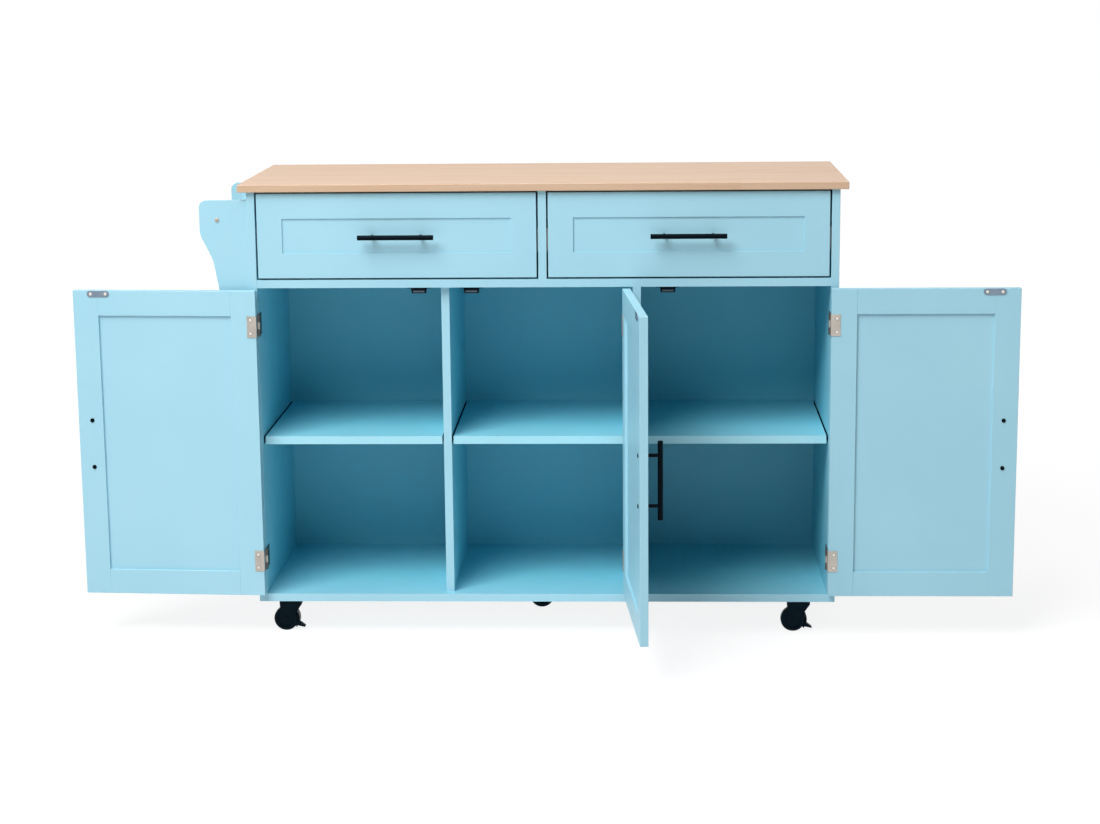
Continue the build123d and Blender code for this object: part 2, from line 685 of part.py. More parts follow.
def door(name):
    """One door: stiles, rails, panel, handle, strike plate and hinge leaves."""
    sign = DOORS[name][1]
    plane = door_plane(name)
    outer = HINGE_PIN_OUT
    inner = outer + DOOR_T
    hinge_edge = HINGE_GAP / 2
    free_edge = hinge_edge + DOOR_W
    panel_y0 = outer + (DOOR_T - DOOR_PANEL_T) / 2
    panel_y1 = panel_y0 + DOOR_PANEL_T
    handle_x = sign * (free_edge - HANDLE_FROM_EDGE)
    plate_x = sign * (free_edge - STRIKE_FROM_EDGE)
    plate_z = DOOR_HIGH - STRIKE_DROP - STRIKE_H / 2
    strike_screws = [
        Location((plate_x + dx, inner + STRIKE_T, plate_z), OUT_BACK)
        for dx in (-STRIKE_SCREW_SPACING / 2, STRIKE_SCREW_SPACING / 2)
    ]
    flange_x = sign * (hinge_edge + FLANGE_SCREW_IN)
    leaf_screws = [
        Location((flange_x, inner + LEAF_T, z + dz), OUT_BACK)
        for z in HINGE_HEIGHTS
        for dz in (-HINGE_SCREW_SPACING / 2, HINGE_SCREW_SPACING / 2)
    ]
    screw_places = handle_places(handle_x, inner, DOOR_MID_Z, True, OUT_BACK)
    flat = flat_screw()
    stock = round_bar()
    fastener = handle_screw(DOOR_T)

    def drill_frame():
        countersink(strike_screws)
        countersink(leaf_screws)
        drill(screw_places, HANDLE_SCREW_R, DOOR_T)

    frame = []
    for x0, x1, groove in (
        (hinge_edge, hinge_edge + STILE_W, hinge_edge + STILE_W - DOOR_GROOVE),
        (free_edge - STILE_W, free_edge, free_edge - STILE_W + DOOR_GROOVE),
    ):
        mouth = x1 if groove > x0 + STILE_W / 2 else x0
        with BuildPart(plane) as stile:
            block(sign * x0, sign * x1, outer, inner, DOOR_LOW, DOOR_HIGH)
            fillet(stile.edges(), EDGE_R)
            block(
                sign * groove, sign * mouth, panel_y0, panel_y1, DOOR_LOW, DOOR_HIGH,
                mode=Mode.SUBTRACT,
            )
            drill_frame()
        frame.append(stile)
    rail_x0 = hinge_edge + STILE_W
    rail_x1 = free_edge - STILE_W
    tenon = DOOR_GROOVE - GROOVE_FIT
    for low, high, edge in (
        (DOOR_LOW, DOOR_LOW + DOOR_RAIL_H, DOOR_LOW + DOOR_RAIL_H),
        (DOOR_HIGH - DOOR_RAIL_H, DOOR_HIGH, DOOR_HIGH - DOOR_RAIL_H),
    ):
        into = edge - DOOR_GROOVE if edge == high else edge + DOOR_GROOVE
        with BuildPart(plane) as rail:
            block(sign * rail_x0, sign * rail_x1, outer, inner, low, high)
            fillet(rail.edges() - rail.edges().filter_by(Axis.Z), EDGE_R)
            block(sign * (rail_x0 - tenon), sign * (rail_x1 + tenon), panel_y0, panel_y1, low, high)
            block(
                sign * (rail_x0 - tenon), sign * (rail_x1 + tenon), panel_y0, panel_y1, edge, into,
                mode=Mode.SUBTRACT,
            )
            drill_frame()
        frame.append(rail)
    save(f"{name}_frame", *frame)

    with BuildPart(plane) as panel:
        block(
            sign * (rail_x0 - tenon), sign * (rail_x1 + tenon), panel_y0, panel_y1,
            DOOR_LOW + DOOR_RAIL_H - tenon, DOOR_HIGH - DOOR_RAIL_H + tenon,
        )
    save(f"{name}_panel", panel)

    with BuildPart(plane) as bar:
        handle(stock, handle_x, outer, DOOR_MID_Z, upright=True)
    with BuildPart(plane) as bar_screws:
        put(fastener, screw_places)
    save(f"{name}_handle", bar, bar_screws)

    with BuildPart(plane) as strike:
        half = STRIKE_W / 2 - STRIKE_H / 2
        ends = [Location((plate_x + dx, inner, plate_z), OUT_BACK) for dx in (-half, half)]
        block(
            plate_x - half, plate_x + half, inner, inner + STRIKE_T,
            plate_z - STRIKE_H / 2, plate_z + STRIKE_H / 2,
        )
        with Locations(*ends):
            Cylinder(STRIKE_H / 2, STRIKE_T, align=PROUD)
        countersink(strike_screws)
    with BuildPart(plane) as plate_screws:
        put(flat, strike_screws)
    save(f"{name}_strike_plate", strike, plate_screws)

    leaves = []
    for z in HINGE_HEIGHTS:
        with BuildPart(plane) as leaf:
            x0 = sign * (hinge_edge - LEAF_T)
            leaf_edge(x0, sign * hinge_edge, inner + LEAF_T, (0,), z)
            block(
                x0, sign * (hinge_edge + FLANGE_W), inner, inner + LEAF_T,
                z - HINGE_H / 2, z + HINGE_H / 2,
            )
            knuckle(z, HINGE_PIN_R + HINGE_PIN_FIT)
            countersink(leaf_screws)
        leaves.append(leaf)
    with BuildPart(plane) as hinge_screws:
        put(flat, leaf_screws)
    save(f"{name}_hinge_leaves", *leaves, hinge_screws)


def channel(wall, sign, web, lip, half_height, z):
    """A slide member: a web at a distance from the wall, with a lip along each long edge."""
    x0 = wall + sign * web
    x1 = wall + sign * (web + SLIDE_SHEET)
    start = SLIDE_START
    end = SLIDE_START + SLIDE_L
    board(x0, x1, start, end, z - half_height, z + half_height)
    for edge in (-half_height, half_height):
        root = edge - math.copysign(SLIDE_SHEET, edge)
        board(min(x0, wall + sign * lip), max(x0, wall + sign * lip), start, end, z + root, z + edge)


def drawers():
    """Both drawers: fronts, boxes, handles and slides."""
    box_z0 = BAY_Z + BOX_RISE
    box_z1 = box_z0 + BOX_H
    bottom_z0 = box_z0 + BOTTOM_RISE
    bottom_z1 = bottom_z0 + BOTTOM_T
    slide_z = (box_z0 + box_z1) / 2
    front_z0 = BAY_Z + DRAWER_GAP
    front_z1 = CEILING_Z - DRAWER_GAP
    handle_z = (front_z0 + front_z1) / 2 - DRAWER_HANDLE_DROP
    outer_half = SLIDE_H / 2
    middle_half = outer_half - SLIDE_SHEET - SLIDE_FIT
    inner_half = middle_half - SLIDE_SHEET - SLIDE_FIT
    middle_web = SLIDE_SHEET + SLIDE_FIT
    inner_web = SLIDE_W - SLIDE_SHEET
    inner_lip = middle_web + SLIDE_SHEET + SLIDE_FIT
    stock = round_bar()
    fastener = handle_screw(BOARD - MILLED_DEPTH)
    outer_members = []

    for name, (x0, x1) in DRAWERS.items():
        middle_x = (x0 + x1) / 2
        side_x0 = x0 + SLIDE_W
        side_x1 = x1 - SLIDE_W
        box_end = BOARD + BOX_L
        screw_places = handle_places(middle_x, at(BOARD), handle_z, False, OUT_BACK)
        with BuildPart() as front:
            board(x0 + DRAWER_GAP, x1 - DRAWER_GAP, 0, BOARD, front_z0, front_z1)
            fillet(front.edges(), EDGE_R)
            board(
                x0 + DRAWER_GAP + MILLED_BORDER, x1 - DRAWER_GAP - MILLED_BORDER, 0, MILLED_DEPTH,
                front_z0 + MILLED_BORDER, front_z1 - MILLED_BORDER, mode=Mode.SUBTRACT,
            )
            board(
                side_x0 + BOX_T, side_x1 - BOX_T, BOARD - BOTTOM_GROOVE, BOARD, bottom_z0, bottom_z1,
                mode=Mode.SUBTRACT,
            )
            drill(screw_places, HANDLE_SCREW_R, BOARD)
        save(f"{name}_front", front)

        walls = []
        for wall_x0, wall_x1, groove in (
            (side_x0, side_x0 + BOX_T, side_x0 + BOX_T - BOTTOM_GROOVE),
            (side_x1 - BOX_T, side_x1, side_x1 - BOX_T + BOTTOM_GROOVE),
        ):
            mouth = wall_x1 if wall_x0 == side_x0 else wall_x0
            with BuildPart() as wall:
                board(wall_x0, wall_x1, BOARD, box_end, box_z0, box_z1)
                board(groove, mouth, BOARD, box_end, bottom_z0, bottom_z1, mode=Mode.SUBTRACT)
            walls.append(wall)
        with BuildPart() as end_wall:
            board(side_x0 + BOX_T, side_x1 - BOX_T, box_end - BOX_T, box_end, bottom_z1, box_z1)
        save(f"{name}_box", *walls, end_wall)

        with BuildPart() as bottom:
            tongue = BOTTOM_GROOVE - GROOVE_FIT
            board(
                side_x0 + BOX_T - tongue, side_x1 - BOX_T + tongue, BOARD, box_end,
                bottom_z0, bottom_z1,
            )
            board(
                side_x0 + BOX_T, side_x1 - BOX_T, BOARD - tongue, BOARD, bottom_z0, bottom_z1
            )
        save(f"{name}_bottom", bottom)

        with BuildPart() as bar:
            handle(stock, middle_x, at(MILLED_DEPTH), handle_z, upright=False)
        with BuildPart() as bar_screws:
            put(fastener, screw_places)
        save(f"{name}_handle", bar, bar_screws)

        middles = []
        inners = []
        for wall, sign in ((x0, 1), (x1, -1)):
            with BuildPart() as outer_member:
                channel(wall, sign, 0.0, SLIDE_OUTER_LIP, outer_half, slide_z)
            outer_members.append(outer_member)
            with BuildPart() as middle_member:
                channel(wall, sign, middle_web, SLIDE_MIDDLE_LIP, middle_half, slide_z)
            middles.append(middle_member)
            with BuildPart() as inner_member:
                channel(wall, sign, inner_web, inner_lip, inner_half, slide_z)
            inners.append(inner_member)
        save(f"{name}_slide_middles", *middles)
        save(f"{name}_slide_inners", *inners)
    save("slide_outer_members", *outer_members)


def towel_rack():
    """Two shaped brackets on the left side and the rod between them."""
    with BuildPart() as rod:
        with Locations(Location((ROD_X, at(RACK_FRONT + RACK_T - ROD_SEAT), ROD_Z), OUT_BACK)):
            Cylinder(ROD_R, RACK_REAR - RACK_FRONT - RACK_T + 2 * ROD_SEAT, align=PROUD)
        for place in ROD_SCREWS:
            drill([place], ROD_SCREW_R, ROD_SCREW_L)
    save("towel_rod", rod)

    brackets = []
    for depth in (RACK_FRONT, RACK_REAR):
        face = Plane(origin=(RACK_X, at(depth + RACK_T), RACK_TOP), x_dir=(1, 0, 0), z_dir=(0, -1, 0))
        with BuildPart() as bracket:
            with BuildSketch(face) as outline:
                corner = (-RACK_REACH, 0)
                shoulder = (-RACK_REACH, -RACK_SHOULDER_H)
                knee = (-RACK_KNEE_REACH, -RACK_KNEE_H)
                toe = (-RACK_TOE_REACH, -RACK_H)
                with BuildLine():
                    Polyline((0, 0), corner, shoulder, knee, toe, (0, -RACK_H), close=True)
                make_face()
                for point, radius in (
                    (corner, RACK_CORNER_R),
                    (shoulder, RACK_SHOULDER_R),
                    (knee, RACK_KNEE_R),
                    (toe, RACK_TOE_R),
                ):
                    fillet(outline.vertices().sort_by_distance(point)[0], radius)
            extrude(amount=RACK_T)
            add(rod.part, mode=Mode.SUBTRACT)
            for place in ROD_SCREWS:
                drill([place], ROD_SCREW_R, ROD_SCREW_L)
            countersink(RACK_SCREWS, RACK_SCREW_L)
        brackets.append(bracket)
    save("rack_brackets", *brackets)


def cabinet_screws():
    """Every screw that goes into the cabinet: hinges, catches, caster plates and rack."""
    flat = flat_screw()
    long_flat = flat_screw(RACK_SCREW_L)
    pan = pan_screw(ROD_SCREW_R, ROD_SCREW_L, ROD_SCREW_HEAD_R, ROD_SCREW_HEAD_H)
    with BuildPart() as screws:
        for name in DOORS:
            plane = door_plane(name, turned=False)
            put(flat, [plane.location * place for place in frame_leaf_screws(name)])
        put(flat, CATCH_SCREWS)
        put(flat, PLATE_SCREWS)
        put(long_flat, RACK_SCREWS)
        put(pan, ROD_SCREWS)
    save("cabinet_screws", screws)


def caster_plates():
    """The screwed-on plates, each with its bearing race and riveted king pin."""
    plates = []
    for x, depth, _ in CASTERS.values():
        with BuildPart() as plate:
            with Locations((x, at(depth), BASE_Z)):
                Box(CASTER_PLATE_W, CASTER_PLATE_W, CASTER_PLATE_T, align=SUNK)
            fillet(plate.edges().filter_by(Axis.Z), CASTER_PLATE_R)
            with Locations((x, at(depth), BASE_Z - CASTER_PLATE_T)):
                Cylinder(RACE_R, RACE_H, align=SUNK)
                Cylinder(KING_R, RACE_H + CROWN_T + 2 * CASTER_FIT, align=SUNK)
            with Locations((x, at(depth), FORK_TOP - CROWN_T - CASTER_FIT)):
                Cylinder(KING_HEAD_R, KING_HEAD_H, align=SUNK)
            countersink(PLATE_SCREWS)
        plates.append(plate)
    save("caster_plates", *plates)


def caster(name, x, depth, braked):
    """One caster below its plate: fork, axle and wheel, and a brake lever where it has one."""
    y = at(depth)
    middle = Plane(origin=(x, y, 0), x_dir=(1, 0, 0), z_dir=(0, -1, 0))
    axle_place = Location((x - TRAIL, y, WHEEL_R), OUT_FRONT)
    pivot_place = Location((x + PIVOT_X, y, PIVOT_Z), OUT_FRONT)
    half = CHEEK_IN + CHEEK_T

    with BuildPart() as fork:
        for start in (CHEEK_IN, -half):
            with BuildSketch(middle.offset(start)):
                with Locations((-TRAIL, WHEEL_R)):
                    Circle(LUG_R)
                with Locations(((CHEEK_FRONT - CHEEK_BACK) / 2, FORK_TOP - CHEEK_H / 2)):
                    Rectangle(CHEEK_FRONT + CHEEK_BACK, CHEEK_H)
                make_hull()
            extrude(amount=CHEEK_T)
        block(x - CHEEK_BACK, x + CHEEK_FRONT, y - half, y + half, FORK_TOP - CROWN_T, FORK_TOP)
        with Locations((x, y, FORK_TOP)):
            Cylinder(KING_R + BORE_FIT, CROWN_T, align=SUNK, mode=Mode.SUBTRACT)
        with Locations(axle_place):
            Cylinder(AXLE_R, 2 * half, mode=Mode.SUBTRACT)
        if braked:
            with Locations(pivot_place):
                Cylinder(PIVOT_R, 2 * half, mode=Mode.SUBTRACT)
    pieces = [fork]
    with BuildPart() as axle:
        with Locations(axle_place):
            Cylinder(AXLE_R, 2 * half)
            with Locations((0, 0, half), Location((0, 0, -half), OUT_DOWN)):
                Cylinder(AXLE_HEAD_R, AXLE_HEAD_H, align=PROUD)
    pieces.append(axle)
    if braked:
        with BuildPart() as pivot:
            with Locations(pivot_place):
                Cylinder(PIVOT_R, 2 * half)
        pieces.append(pivot)
    save(f"{name}_fork", *pieces)

    with BuildPart() as wheel:
        with Locations(axle_place):
            Cylinder(WHEEL_R, WHEEL_W)
            fillet(wheel.edges().filter_by(GeomType.CIRCLE), WHEEL_EDGE_R)
        for side in (WHEEL_W / 2 - WHEEL_DISH, -WHEEL_W / 2):
            with BuildSketch(middle.offset(side)):
                with Locations((-TRAIL, WHEEL_R)):
                    Circle(WHEEL_RIM_R)
                    Circle(WHEEL_HUB_R, mode=Mode.SUBTRACT)
            extrude(amount=WHEEL_DISH, mode=Mode.SUBTRACT)
        with Locations(axle_place):
            Cylinder(AXLE_R + BORE_FIT, WHEEL_W, mode=Mode.SUBTRACT)
    save(f"{name}_wheel", wheel)

    if braked:
        tread_r = WHEEL_R + CASTER_FIT
        shoe_r = tread_r + SHOE_T / 2
        lever_half = CHEEK_IN - LEVER_SIDE_FIT

        def beside_wheel(radius, angle):
            turn = math.radians(angle)
            return (radius * math.cos(turn) - TRAIL, radius * math.sin(turn) + WHEEL_R)

        shoe_top = beside_wheel(shoe_r, SHOE_HIGH)
        with BuildPart() as lever:
            with BuildSketch(middle.offset(-lever_half)):
                with BuildLine():
                    CenterArc((-TRAIL, WHEEL_R), shoe_r, SHOE_LOW, SHOE_HIGH - SHOE_LOW)
                trace(line_width=SHOE_T)
                with Locations(beside_wheel(shoe_r, SHOE_LOW)):
                    Circle(SHOE_T / 2)
            extrude(amount=2 * lever_half)
            for first, first_r, second, second_r, width in (
                ((PIVOT_X, PIVOT_Z), LEVER_HUB_R, shoe_top, SHOE_T / 2, 2 * lever_half),
                (
                    beside_wheel(tread_r + PEDAL_ROOT_R, PEDAL_ANGLE), PEDAL_ROOT_R,
                    beside_wheel(PEDAL_REACH, PEDAL_ANGLE), PEDAL_TIP_R, PEDAL_W,
                ),
            ):
                with BuildSketch(middle.offset(-width / 2)):
                    with Locations(first):
                        Circle(first_r)
                    with Locations(second):
                        Circle(second_r)
                    make_hull()
                extrude(amount=width)
            with Locations(axle_place):
                Cylinder(tread_r, 2 * lever_half, mode=Mode.SUBTRACT)
            with Locations(pivot_place):
                Cylinder(PIVOT_R + BORE_FIT, 2 * lever_half, mode=Mode.SUBTRACT)
        save(f"{name}_brake_lever", lever)


def main():
    os.makedirs("parts", exist_ok=True)
    cabinet()
    catches()
    frame_leaves()
    for name in DOORS:
        door(name)
    drawers()
    towel_rack()
    cabinet_screws()
    caster_plates()
    for name, (x, depth, braked) in CASTERS.items():
        caster(name, x, depth, braked)


main()
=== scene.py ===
import json
import math

import bpy
from mathutils import Matrix, Vector


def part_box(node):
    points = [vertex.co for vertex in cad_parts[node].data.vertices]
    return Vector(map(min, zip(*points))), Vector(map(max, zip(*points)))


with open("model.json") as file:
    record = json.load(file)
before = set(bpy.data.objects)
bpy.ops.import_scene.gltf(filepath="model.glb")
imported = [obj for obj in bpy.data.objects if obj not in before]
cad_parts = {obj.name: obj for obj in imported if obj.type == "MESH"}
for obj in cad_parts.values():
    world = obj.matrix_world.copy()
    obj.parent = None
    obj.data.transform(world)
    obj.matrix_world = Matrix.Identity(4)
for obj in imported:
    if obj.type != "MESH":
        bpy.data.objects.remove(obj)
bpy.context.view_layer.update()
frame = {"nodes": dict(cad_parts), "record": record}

# The photograph's camera
IMAGE_W = 1100
FOCAL_PIXELS = 2291.5
SENSOR_MM = 36.0
CAMERA_AT = Vector((0.195, -4.7085, 1.3484))
CAMERA_YAW = -0.0407
CAMERA_PITCH = -0.1943
CAMERA_ROLL = -0.0097

# Light: a wide soft key from high at the left front, a ceiling panel, and a faint world
LIGHTS = {
    # name: (place, aimed at, width, watts)
    "key": ((-2.0, -3.5, 4.7), (0.0, 0.0, 0.5), 3.2, 350.0),
    "ceiling": ((0.0, -0.4, 3.4), (0.0, 0.0, 0.9), 2.4, 36.0),
}
WORLD_LIGHT = 0.02

# The floor: what it bounces, what it shows of the light, and its glow, which grows with distance
FLOOR_HALF = 30.0
FLOOR_BOUNCE = 0.9
FLOOR_SHADE = 0.20
FLOOR_FADE = (1.5, 3.5)
FLOOR_GLOW = (0.87, 1.0)

# The boards with faces inside the cabinet, where those faces are, and how the painted shade on their
# inner faces deepens towards the back
CABINET_BOARDS = (
    "left_side_panel", "right_side_panel", "base_panel", "drawer_deck", "back_panel",
    "left_divider", "right_divider",
)
INNER_HALF_WIDTH = 0.5685
EDGES_END_Y = -0.19
FACING = 0.5
SHADE_DEEPENING_Y = (-0.22, -0.06)
SHADE_DEEPENING = (0.5, 1.0)

# Screw heads on a door, painted bright as a glint and circled by painted shade, placed from its hinge
# pin: across, inwards, and heights above the floor
DOORS = ("left", "middle", "right")
SCREW_INWARDS = 0.0207
HINGE_SCREW_ACROSS = 0.0125
HINGE_SCREW_HEIGHTS = (0.149, 0.176, 0.628, 0.655)
HINGE_SCREWS = [(HINGE_SCREW_ACROSS, SCREW_INWARDS, z) for z in HINGE_SCREW_HEIGHTS]
STRIKE_SCREWS_ACROSS = (0.304, 0.334)
STRIKE_SCREW_HEIGHT = 0.70675
STRIKE_SCREWS = [(x, SCREW_INWARDS, STRIKE_SCREW_HEIGHT) for x in STRIKE_SCREWS_ACROSS]
SCREW_HEAD_R = 0.0032
SCREW_SHADE_RING = 0.0007

# How far the magnets' pale fronts reach into the catches
MAGNET_PROUD = 0.0004

# Edges: their widths (worn bands, the paint's band of wear and painted highlight, and the steel's
# edge line of painted shade), and how far a face bends there, as cosines
PAINT_WEAR_AND_HIGHLIGHT_R = 0.0012
WOOD_WEAR_R = 0.0015
BLACK_WEAR_R = 0.0008
STEEL_SHADE_RIM_R = 0.0006
EDGE_BEND = (0.99, 0.80)
EDGE_SAMPLES = 6

# Depths of the surface relief
PEEL_DEPTH = 0.00006
GRAIN_DEPTH = 0.00008
LACQUER_DEPTH = 0.00003
MOULD_DEPTH = 0.00006
DRAWN_DEPTH = 0.00002
FLECK_DEPTH = 0.0001

# Strength of the sheen
PAINT_GLOSS = 0.8
INSIDE_GLOSS = 0.3
WOOD_GLOSS = 0.9
METAL_GLOSS = 0.07
PLASTIC_GLOSS = 0.15

# Staves of the wooden top, and the fineness of grain along X, Y and Z
STAVE_L = 0.62
STAVE_W = 0.0575
STAVE_STAGGER = 0.37
STAVE_SHIFT = (3.7, 1.9, 2.3)
RINGS = (1.6, 38.0, 30.0)
STREAKS = (7.0, 420.0, 320.0)
PORES = (40.0, 1500.0, 1300.0)
DRAWN_LINES = (3000.0, 3000.0, 160.0)
FLECKS = (300.0, 300.0, 300.0)

# Sockets of a node that mixes colours, whose names repeat
MIX_AMOUNT = 0
MIX_FIRST = 6
MIX_SECOND = 7
MIX_RESULT = 2

UNIT = (0.0, 1.0)


def srgb(red, green, blue):
    """A colour as it looks on a screen, 0 to 255, as a linear one."""
    linear = [
        c / 12.92 if c <= 0.04045 else ((c + 0.055) / 1.055) ** 2.4
        for c in (red / 255, green / 255, blue / 255)
    ]
    return (*linear, 1.0)


def grey(level):
    """A neutral colour, from 0, black, to 1, white."""
    return (level, level, level, 1.0)


PAINT = srgb(159, 208, 224)
PAINT_CLOUD = (0.932, 0.957, 0.970, 1.0)
# Paler edge colour of the paint: partly rubbed paint, partly a painted highlight
PAINT_EDGE_WEAR_AND_HIGHLIGHT = srgb(170, 217, 231)
# Painted shade: the deeper, more saturated tone of the cabinet's inner faces
PAINT_INSIDE_SHADE = srgb(124, 207, 226)
# Painted light: a brighter copy of the paint for the shelves
PAINT_SHELF_LIT = srgb(162, 219, 233)
# Painted shadow, nearly black, in the narrow gaps beside the shelves
GAP_SHADE = srgb(0, 34, 60)
WOOD = srgb(195, 161, 131)
WOOD_PALE = srgb(204, 173, 145)
WOOD_DARK = srgb(178, 140, 109)
WOOD_PORE = srgb(150, 110, 81)
STAVE_TINT = (0.97, 0.965, 0.96, 1.0)
BEECH = srgb(222, 190, 150)
BEECH_DARK = srgb(192, 150, 108)
BLACK = srgb(7, 10, 13)
BLACK_WORN = srgb(34, 36, 40)
BLACK_SHEEN = srgb(137, 210, 255)
RUBBER = srgb(6, 8, 11)
RUBBER_DUSTY = srgb(20, 22, 26)
MAGNET = srgb(120, 126, 130)
NICKEL = srgb(192, 184, 174)
NICKEL_DULL = srgb(172, 166, 158)
# Painted shade: a darker copy of the nickel for the frame leaves and hinge pins, which sit in the
# cabinet's shade
SHADED = srgb(104, 96, 90)
SHADED_DULL = srgb(86, 80, 76)
PLATE = srgb(132, 147, 162)
PLATE_DULL = srgb(116, 132, 148)
# Painted highlight: the glint of the screw heads
SCREW_GLINT = srgb(222, 219, 213)
# Painted shade: the dark line along steel edges and circling the screw heads
SEAM_SHADE = srgb(52, 52, 56)


# Node helpers

def set_inputs(tree, node, inputs):
    """Fill a node's inputs. Each is a plain value or another node's output."""
    for key, value in inputs.items():
        if isinstance(value, bpy.types.NodeSocket):
            tree.links.new(value, node.inputs[key])
        else:
            node.inputs[key].default_value = value


def add_node(tree, kind, inputs=None, **settings):
    """A new node with its settings and inputs."""
    made = tree.nodes.new(kind)
    for name, value in settings.items():
        setattr(made, name, value)
    set_inputs(tree, made, inputs or {})
    return made


def new_tree(name):
    """A material with an empty node tree: both."""
    material = bpy.data.materials.new(name)
    material.use_nodes = True
    material.node_tree.nodes.clear()
    return material, material.node_tree


def new_material(name):
    """A material with a principled shader: it, its tree and that shader."""
    material, tree = new_tree(name)
    shader = add_node(tree, "ShaderNodeBsdfPrincipled")
    add_node(tree, "ShaderNodeOutputMaterial", {"Surface": shader.outputs["BSDF"]})
    return material, tree, shader


def place_on_part(tree):
    """Coordinates in metres that move with the part."""
    return add_node(tree, "ShaderNodeTexCoord").outputs["Object"]


def stretch(tree, place, scale):
    """Coordinates scaled along X, Y and Z."""
    return add_node(tree, "ShaderNodeMapping", {"Vector": place, "Scale": scale}).outputs["Vector"]


def parts_of(tree, vector):
    """The X, Y and Z of a vector."""
    return add_node(tree, "ShaderNodeSeparateXYZ", {"Vector": vector}).outputs


def noise(tree, place, scale=1.0, detail=2.0, roughness=0.5, distortion=0.0):
    """Soft noise from 0 to 1."""
    inputs = {
        "Vector": place, "Scale": scale, "Detail": detail,
        "Roughness": roughness, "Distortion": distortion,
    }
    return add_node(tree, "ShaderNodeTexNoise", inputs).outputs["Fac"]


def spread(tree, value, span, to=UNIT):
    """A value from one range to another, kept inside it."""
    inputs = {
        "Value": value, "From Min": span[0], "From Max": span[1], "To Min": to[0], "To Max": to[1],
    }
    return add_node(tree, "ShaderNodeMapRange", inputs, clamp=True).outputs["Result"]


def math_node(tree, operation, first, second=0.0):
    """One sum or comparison of two values."""
    return add_node(tree, "ShaderNodeMath", {0: first, 1: second}, operation=operation).outputs[0]


def vector_node(tree, operation, first, second, result="Vector"):
    """One sum of two vectors."""
    inputs = {0: first, 1: second}
    return add_node(tree, "ShaderNodeVectorMath", inputs, operation=operation).outputs[result]


def between(tree, value, low, high):
    """1 where a value lies between two others, 0 elsewhere."""
    over = math_node(tree, "GREATER_THAN", value, low)
    return math_node(tree, "MULTIPLY", over, math_node(tree, "LESS_THAN", value, high))


def mix_colour(tree, amount, first, second, blend="MIX"):
    """Two colours mixed by an amount."""
    inputs = {MIX_AMOUNT: amount, MIX_FIRST: first, MIX_SECOND: second}
    mixed = add_node(tree, "ShaderNodeMix", inputs, data_type="RGBA", blend_type=blend)
    return mixed.outputs[MIX_RESULT]


def bump(tree, height, depth, strength):
    """A normal bent by a height from 0 to 1, worth a depth in metres."""
    inputs = {"Height": height, "Distance": depth, "Strength": strength}
    return add_node(tree, "ShaderNodeBump", inputs).outputs["Normal"]


def edge_mask(tree, radius):
    """1 along sharp edges, 0 on flat faces."""
    bevel = add_node(tree, "ShaderNodeBevel", {"Radius": radius}, samples=EDGE_SAMPLES)
    face = add_node(tree, "ShaderNodeNewGeometry").outputs["Normal"]
    bend = vector_node(tree, "DOT_PRODUCT", bevel.outputs["Normal"], face, "Value")
    return spread(tree, bend, EDGE_BEND)


# Masks of the painted shade inside the cabinet

def inside(tree, place):
    """Painted shade: up to 1, deeper in, on the cabinet's inner faces; 0 on outer and back faces and
    front edges.
    """
    toward = parts_of(tree, add_node(tree, "ShaderNodeTexCoord").outputs["Normal"])["Y"]
    spot = parts_of(tree, place)
    reach = math_node(tree, "ABSOLUTE", spot["X"])
    within = math_node(tree, "LESS_THAN", reach, INNER_HALF_WIDTH)
    front_edge = math_node(
        tree, "MULTIPLY", math_node(tree, "LESS_THAN", toward, -FACING),
        math_node(tree, "LESS_THAN", spot["Y"], EDGES_END_Y),
    )
    back = math_node(tree, "GREATER_THAN", toward, FACING)
    outer = math_node(tree, "MAXIMUM", front_edge, back)
    # The painted shade grows deeper towards the back
    depth = spread(tree, spot["Y"], SHADE_DEEPENING_Y, SHADE_DEEPENING)
    within = math_node(tree, "MULTIPLY", within, depth)
    return math_node(tree, "MULTIPLY", within, math_node(tree, "SUBTRACT", 1.0, outer))


def shade_beside_shelves(tree, place, within):
    """Painted shadow: 1 on the inner faces in the narrow gaps at the shelves' ends, which look nearly
    black.
    """
    near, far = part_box("shelves")
    spot = parts_of(tree, place)
    level = between(tree, spot["Z"], near[2], far[2])
    along = between(tree, spot["Y"], near[1], far[1])
    inner = math_node(tree, "GREATER_THAN", within, 0.0)
    return math_node(tree, "MULTIPLY", math_node(tree, "MULTIPLY", level, along), inner)


# Finishes, one for each material slot of the record

